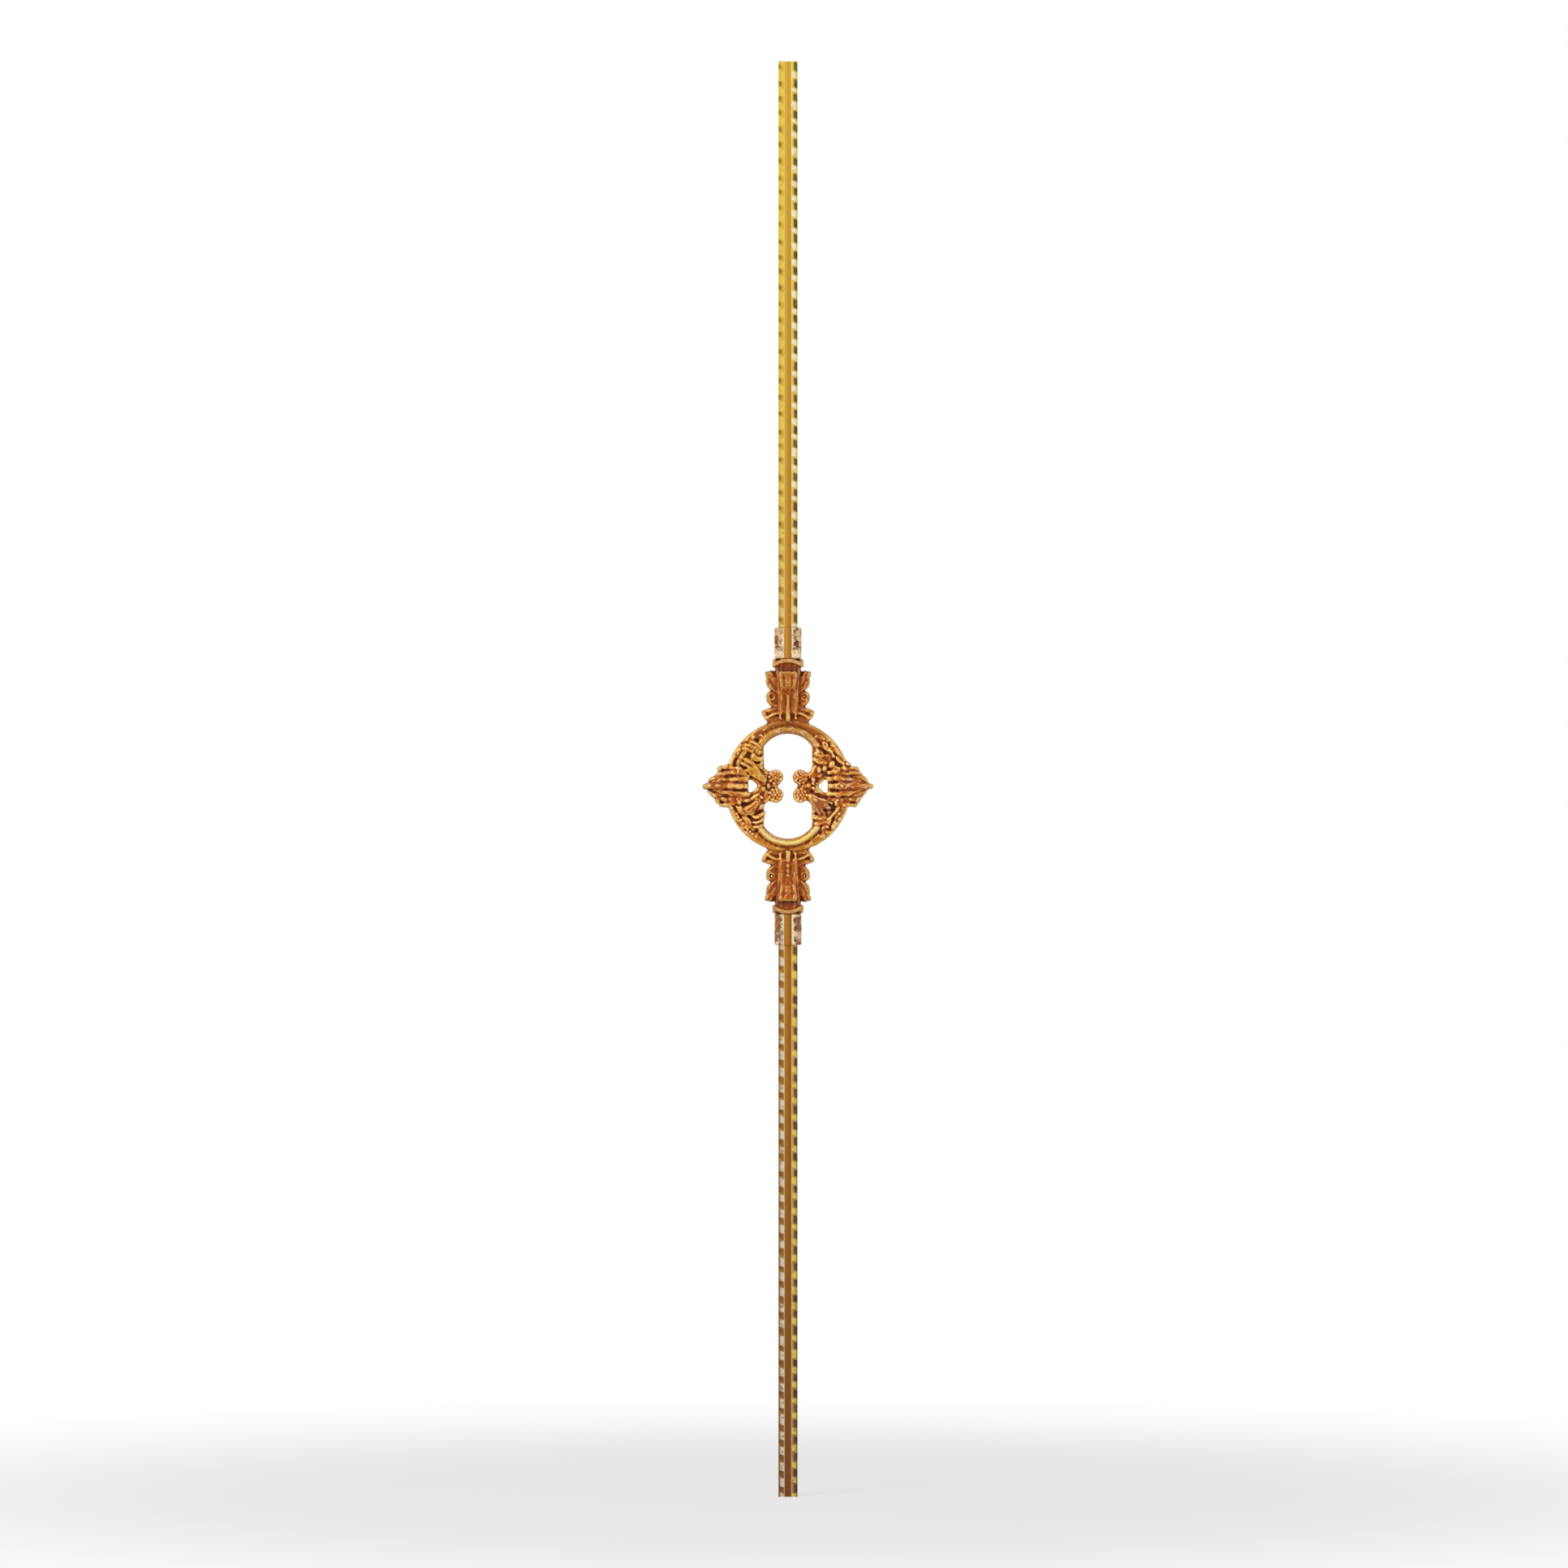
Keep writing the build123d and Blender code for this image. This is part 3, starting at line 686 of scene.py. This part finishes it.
def hammered_bar(node):
    low, high = [np.array(corner) * 1000 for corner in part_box(node)]
    levels = np.append(np.arange(low[2], high[2] - level_step / 2, level_step), high[2])
    # Half a face from its middle to the corner, as distance across and out
    bottom = np.linspace(0, channel_half, 6)
    groove_radius = (channel_half**2 + channel_depth**2) / (2 * channel_depth)
    dip = np.sqrt(groove_radius**2 - bottom**2) - (groove_radius - channel_depth)
    half_face = [(a, bar_half - d) for a, d in zip(bottom, dip)]
    half_face += [(a, bar_half) for a in (2.45, 3.0, 3.6, 4.2, 4.8, 5.3, 5.65)]
    outline = []
    for face in range(4):
        cos, sin = np.cos(face * np.pi / 2), np.sin(face * np.pi / 2)
        for a, out in [(-a, out) for a, out in half_face[:0:-1]] + half_face:
            outline.append((out * cos - a * sin, out * sin + a * cos))
        corner_x = blunt_corner * cos - blunt_corner * sin
        corner_y = blunt_corner * sin + blunt_corner * cos
        outline.append((corner_x, corner_y))
    outline = np.array(outline)
    count = len(outline)
    level = np.repeat(levels, count)
    around = np.tile(outline, (len(levels), 1))
    # Each blow flattens a corner: a slanting facet, its length, depth and place a little off, and
    # lighter on the left corners.
    # Hollow is 1 on a facet's floor, 0 at its edge and -1 in the middle of the land between two.
    hand = np.random.default_rng(len(levels))
    hollow = np.zeros(len(level))
    corner = bar_half * np.sqrt(2)
    for quarter in range(4):
        turn = np.radians(45 + 90 * quarter)
        out = np.array((np.cos(turn), np.sin(turn)))
        here = around @ out > corner - 3.4
        reach, rise, bare = (around @ out)[here], level[here], np.full(here.sum(), 1.0)
        slide = (around @ np.array((-out[1], out[0])))[here]
        deepest, dent = np.zeros(len(reach)), np.zeros(len(reach))
        light_blow = out[0] < 0
        for start in np.arange(low[2] + mark_pitch / 2, high[2] - 2, mark_pitch):
            middle = start + hand.normal(0, 0.5)
            flat = hand.uniform(0.4, 1.0) if light_blow else hand.uniform(1.4, 2.0)
            length = hand.uniform(1.0, 1.5)
            deep = hand.uniform(1.2, 1.6) + 0.25 * (not light_blow)
            run = np.abs(rise - middle + slide * mark_slant)
            wall = np.clip((run - flat) / length, 0, 1)
            cut = np.maximum(reach - corner + deep * (1 - wall**1.5), 0)
            deepest = np.maximum(deepest, cut)
            dent = np.maximum(dent, (1 - wall) * np.clip((reach - corner + deep + 0.2) / 0.4, 0, 1))
            bare = np.minimum(bare, np.clip((run - flat - length) / 1.2, 0, 1))
        around[here] -= out * deepest[:, None]
        hollow[here] = dent - bare
    points = np.column_stack((around, level))
    faces = []
    for i in range(len(levels) - 1):
        for j in range(count):
            k = (j + 1) % count
            faces.append((i * count + j, i * count + k, (i + 1) * count + k, (i + 1) * count + j))
    faces += [tuple(range(count))[::-1], tuple(range(len(points) - count, len(points)))]
    mesh = bpy.data.meshes.new(node + "_hammered")
    mesh.from_pydata((points / 1000).tolist(), [], faces)
    mesh.validate()
    mesh.polygons.foreach_set("use_smooth", [True] * len(mesh.polygons))
    mesh.attributes.new("hollow", "FLOAT", "POINT").data.foreach_set("value", hollow)
    piece = bpy.data.objects.new(node + "_hammered", mesh)
    bpy.context.scene.collection.objects.link(piece)
    mesh.set_sharp_from_angle(angle=np.radians(38))
    return piece


def gold_lacquer(piece, name, dented, bare, cream=0.0, stained=0.0, pale_end=None):
    """Gold that turns amber towards the foot as painted shade, dark in the hammer marks, partly as
    patina and partly as painted shade, with painted highlights on the lands, each face's two sides
    painted as lit and shaded copies. The hollow values between which a mark turns dark, and a land takes
    its painted highlight, are given, and how far the lands are cream and stained brown, and the height
    in metres of an end that is left pale."""
    shader, place = finish(piece, name)
    hollow = Socket.node("ShaderNodeAttribute", {"attribute_name": "hollow"}, out=2)
    cloud = noise(place, 90.0)
    mottle = noise(place, 330.0, 2.0)
    grain = noise(place, 500.0, 4.0, 0.65)
    # Each colour ramp runs by height, browner and darker towards the foot: a painted shade
    level = height_of(place) * (1 / 0.9)
    channel = Socket.node("ShaderNodeValToRGB", {"stops": (
        (0.0, colour(126, 72, 46)),
        (0.1, colour(136, 82, 34)),
        (0.25, colour(156, 92, 26)),
        (0.4, colour(180, 108, 26)),
        (0.6, colour(198, 128, 42)),
        (0.7, colour(196, 140, 36)),
        (1.0, colour(214, 168, 44)),
    )}, Fac=level)
    land = Socket.node("ShaderNodeValToRGB", {"stops": (
        (0.0, colour(150, 108, 66)),
        (0.15, colour(176, 132, 64)),
        (0.4, colour(206, 154, 72)),
        (0.7, colour(228, 184, 60)),
        (1.0, colour(236, 198, 56)),
    )}, Fac=level)
    dent = Socket.node("ShaderNodeValToRGB", {"stops": (
        (0.0, colour(92, 56, 34)),
        (0.3, colour(98, 56, 14)),
        (0.6, colour(108, 66, 20)),
        (1.0, colour(98, 92, 6)),
    )}, Fac=level)
    plan = [Socket.node("ShaderNodeSeparateXYZ", out=i, Vector=place) for i in (0, 1)]
    from_axis = [axis.math("ABSOLUTE") for axis in plan]
    across = from_axis[0].math("MINIMUM", from_axis[1])
    band = across.spread(0.0021, 0.0026)
    right_side = plan[0].spread(-0.001, 0.001)
    on_front = from_axis[0].math("LESS_THAN", from_axis[1])
    # Painted light and shade across each channel: lighter at one side, darker at the other
    channel_shade_side = (plan[0] * on_front + plan[1] * (1 - on_front)).spread(-0.0006, 0.0012)
    channel = channel.tint(colour(246, 200, 84), (1 - channel_shade_side) * level * 0.4)
    channel = channel.tint(colour(150, 84, 16), channel_shade_side * 0.35)
    # Right and left of each face painted as differently lit copies: brighter yellow lands at the right,
    # more so higher up, browner lands low at the left, and paler brown marks at the left
    upper = level.spread(0.4, 0.75)
    creamy = (right_side * upper + (1 - right_side) * (1 - upper)).math("MAXIMUM", cream)
    land = land.tint(colour(252, 236, 120), right_side * (0.1 + 0.55 * level))
    land = land.tint(colour(146, 80, 38), (1 - right_side) * (1 - upper) * 0.5)
    dent = dent.tint(colour(136, 84, 26), (1 - right_side) * 0.55)
    land = land.tint(colour(246, 212, 172), cream)
    stain = noise(place, 210.0).spread(0.62 - 0.18 * stained, 0.7 - 0.18 * stained)
    land = land.tint(colour(128, 62, 28), stain * stained)
    lacquer = channel.tint(land, band * (0.8 + (cloud - 0.5) * 1.6).held())
    # Painted highlight along both edges of the channel
    channel_edge_highlight = across.spread(0.00195, 0.0022) * (1 - across.spread(0.0024, 0.0028))
    lacquer = lacquer.tint(colour(250, 220, 130), channel_edge_highlight * 0.6)
    # Painted highlight in the middle of the lands between the marks, yellow or cream
    inner = (1 - across.spread(0.0040, 0.0056)) * band
    land_highlight = (0.0 - hollow).spread(*bare) * inner * mottle.spread(0.3, 0.5)
    lacquer = lacquer.tint(colour(250, 226, 96), land_highlight * (1 - creamy) * 0.75)
    lacquer = lacquer.tint(colour(255, 250, 226), land_highlight * creamy * (0.68 + 0.27 * right_side))
    if pale_end:
        end = 1 - (height_of(place) - pale_end).math("ABSOLUTE").spread(0.0022, 0.004)
        lacquer = lacquer.tint(colour(252, 230, 196), end * band * 0.9)
    patchy = (0.85 + (mottle - 0.5) * 0.9).held()
    # The hammer marks turn dark: partly patina, partly painted shade, darkest at the right of each face
    mark_patina_and_shade = hollow.spread(*dented) * patchy * (0.7 + 0.3 * right_side)
    lacquer = lacquer.tint(dent, mark_patina_and_shade * band)
    link(lacquer, shader, "Base Color")
    link((0.34 + 0.2 * hollow.held() + (grain - 0.5) * 0.25 * band).held(), shader, "Roughness")
    link((0.45 - 0.25 * hollow.held()).held(), shader, "Metallic")
    bump = Socket.node("ShaderNodeBump", Height=grain * band, Strength=0.25, Distance=0.0003)
    link(bump, shader, "Normal")
    shader.inputs["Specular IOR Level"].default_value = 0.25


for node in ("lower_bar", "upper_bar"):
    piece = hammered_bar(node)
    gold_lacquer(piece, node + "_gold", dented=(0.1, 0.7), bare=(0.05, 0.6))
    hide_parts(node)
    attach(piece, "root")

# Collars: short square steel sleeves, dented with a round-faced hammer and welded over the joints of
# bar and casting, with the bar's channel carried across. Their gold is rubbed to cream and stained.
collar_half, bore_half, collar_channel, step = 8.5, 6.1, 1.0, 0.5
for node in ("lower_collar", "upper_collar"):
    low, high = [np.array(corner) * 1000 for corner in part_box(node)]
    side_axis = (np.arange(40) - 19.5) * step
    levels = np.arange(low[2] - 1.25, high[2] + 1.3, step)
    cx, cy, cz = side_axis[:, None, None], side_axis[None, :, None], levels[None, None, :]
    outer = np.maximum(np.abs(cx), np.abs(cy))
    inner = np.minimum(np.abs(cx), np.abs(cy))
    hand = np.random.default_rng(int(low[2]))
    uneven = blurred(hand.normal(0, 1, (len(side_axis), len(side_axis), len(levels))), 3)
    uneven = np.maximum(uneven / uneven.std(), 0)
    ends = np.maximum(low[2] - cz, cz - high[2]) + 0.25 * uneven
    sleeve = np.maximum(outer - collar_half, ends)
    sleeve = np.maximum(sleeve, (outer - collar_half + ends + 0.7) * 0.71)
    channel = np.maximum(inner - channel_half, collar_half - collar_channel - outer)
    sleeve = np.maximum(sleeve, -channel)
    for quarter in range(4):
        turn = np.radians(45 + 90 * quarter)
        reach = cx * np.cos(turn) + cy * np.sin(turn)
        slide = cy * np.cos(turn) - cx * np.sin(turn)
        for middle in low[2] + np.array((4.9, 14.7)):
            run = np.abs(cz - middle - hand.normal(0, 0.5) + slide * mark_slant)
            flat = collar_half * np.sqrt(2) - 2.0 + 1.9 * (np.clip(run - 1.4, 0, 3) / 3)
            sleeve = np.maximum(sleeve, reach - flat)
        # Blows of a round-faced hammer on the lands of the face that follows this corner
        for land in (-1, 1):
            for share in (0.2, 0.52, 0.82):
                radius, deep = hand.uniform(2.2, 3.4), hand.uniform(0.6, 1.1)
                along = land * hand.uniform(4.2, 6.4)
                out = collar_half + radius - deep
                face = np.radians(90 * quarter)
                spot_x = out * np.cos(face) - along * np.sin(face)
                spot_y = out * np.sin(face) + along * np.cos(face)
                spot_z = low[2] + share * (high[2] - low[2]) + hand.normal(0, 0.8)
                away = np.sqrt((cx - spot_x) ** 2 + (cy - spot_y) ** 2 + (cz - spot_z) ** 2)
                sleeve = np.maximum(sleeve, radius - away)
    sleeve = np.clip(sleeve, -2, 2) + 0.12 * uneven * (inner > channel_half + 0.4)
    sleeve = np.maximum(sleeve, bore_half - outer)
    piece = skin(node + "_hammered", sleeve, np.array((side_axis[0], side_axis[0], levels[0])), step)
    upper = node == "upper_collar"
    gold_lacquer(piece, node + "_gold", dented=(0.02, 0.2), bare=(0.0, 0.35), cream=0.85,
                 stained=1.0 if upper else 0.85, pale_end=low[2] / 1000 if upper else None)
    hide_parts(node)
    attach(piece, "root")

# Studio: a pale floor that fades to white, a soft lamp at the left, a weak one at the right
# and an even white surround.
floor_mesh = bpy.data.meshes.new("floor")
floor_mesh.from_pydata([(-6, -3, 0), (6, -3, 0), (6, 9, 0), (-6, 9, 0)], [], [(0, 1, 2, 3)])
floor = bpy.data.objects.new("floor", floor_mesh)
bpy.context.scene.collection.objects.link(floor)
shader, place = finish(floor, "pale_floor")
shader.inputs["Base Color"].default_value = (0.9, 0.9, 0.9, 1)
shader.inputs["Roughness"].default_value = 1
shader.inputs["Specular IOR Level"].default_value = 0


def seen_as_ground():
    """1 where the camera, a reflection or a view through something sees it, 0 where it only lights."""
    rays = ("Is Camera Ray", "Is Glossy Ray", "Is Transmission Ray")
    seen = [Socket.node("ShaderNodeLightPath", out=name) for name in rays]
    return (seen[0] + seen[1] + seen[2]).held()


away = Socket.node("ShaderNodeVectorMath", {"operation": "LENGTH"}, out=1, _0=place)
whiteness = seen_as_ground() * (0.6 + 0.4 * away.spread(0.25, 0.9))
white = Socket.node("ShaderNodeEmission", Color=(1, 1, 1, 1))
surface = Socket.node("ShaderNodeMixShader", _0=whiteness, _1=Socket(shader.outputs[0]), _2=white)
link(surface, Socket.tree.nodes["Material Output"], "Surface")

world = bpy.data.worlds.new("studio")
bpy.context.scene.world = world
world.use_nodes = True
Socket.tree = world.node_tree
background = world.node_tree.nodes["Background"]
background.inputs["Color"].default_value = (1, 1, 1, 1)
ambient = 0.42
link(ambient + (1 - ambient) * seen_as_ground(), background, "Strength")

for name, place, size, power in (
    ("key", (-1.6, -1.9, 1.7), 1.0, 19),
    ("fill", (1.9, -1.6, 0.9), 1.4, 3),
):
    lamp = bpy.data.lights.new(name, "AREA")
    lamp.size, lamp.energy = size, power
    lit = bpy.data.objects.new(name, lamp)
    bpy.context.scene.collection.objects.link(lit)
    lit.location = place
    aim = bpy.data.objects.new(name + "_aim", None)
    aim.location = (0, 0, 0.45)
    bpy.context.scene.collection.objects.link(aim)
    watch = lit.constraints.new("TRACK_TO")
    watch.target, watch.track_axis, watch.up_axis = aim, "TRACK_NEGATIVE_Z", "UP_Y"

# Camera: straight at the front from far off with a long lens, so that the bars stay parallel
# and the whole height stands in the frame.
camera_data = bpy.data.cameras.new("camera")
camera_data.lens, camera_data.sensor_width = 200, 36
camera = bpy.data.objects.new("camera", camera_data)
bpy.context.scene.collection.objects.link(camera)
camera.location = (-0.0025, -5.467, 0.4469)
camera.rotation_euler = (np.pi / 2, 0, 0)
bpy.context.scene.camera = camera
bpy.context.scene.view_settings.view_transform = "Standard"
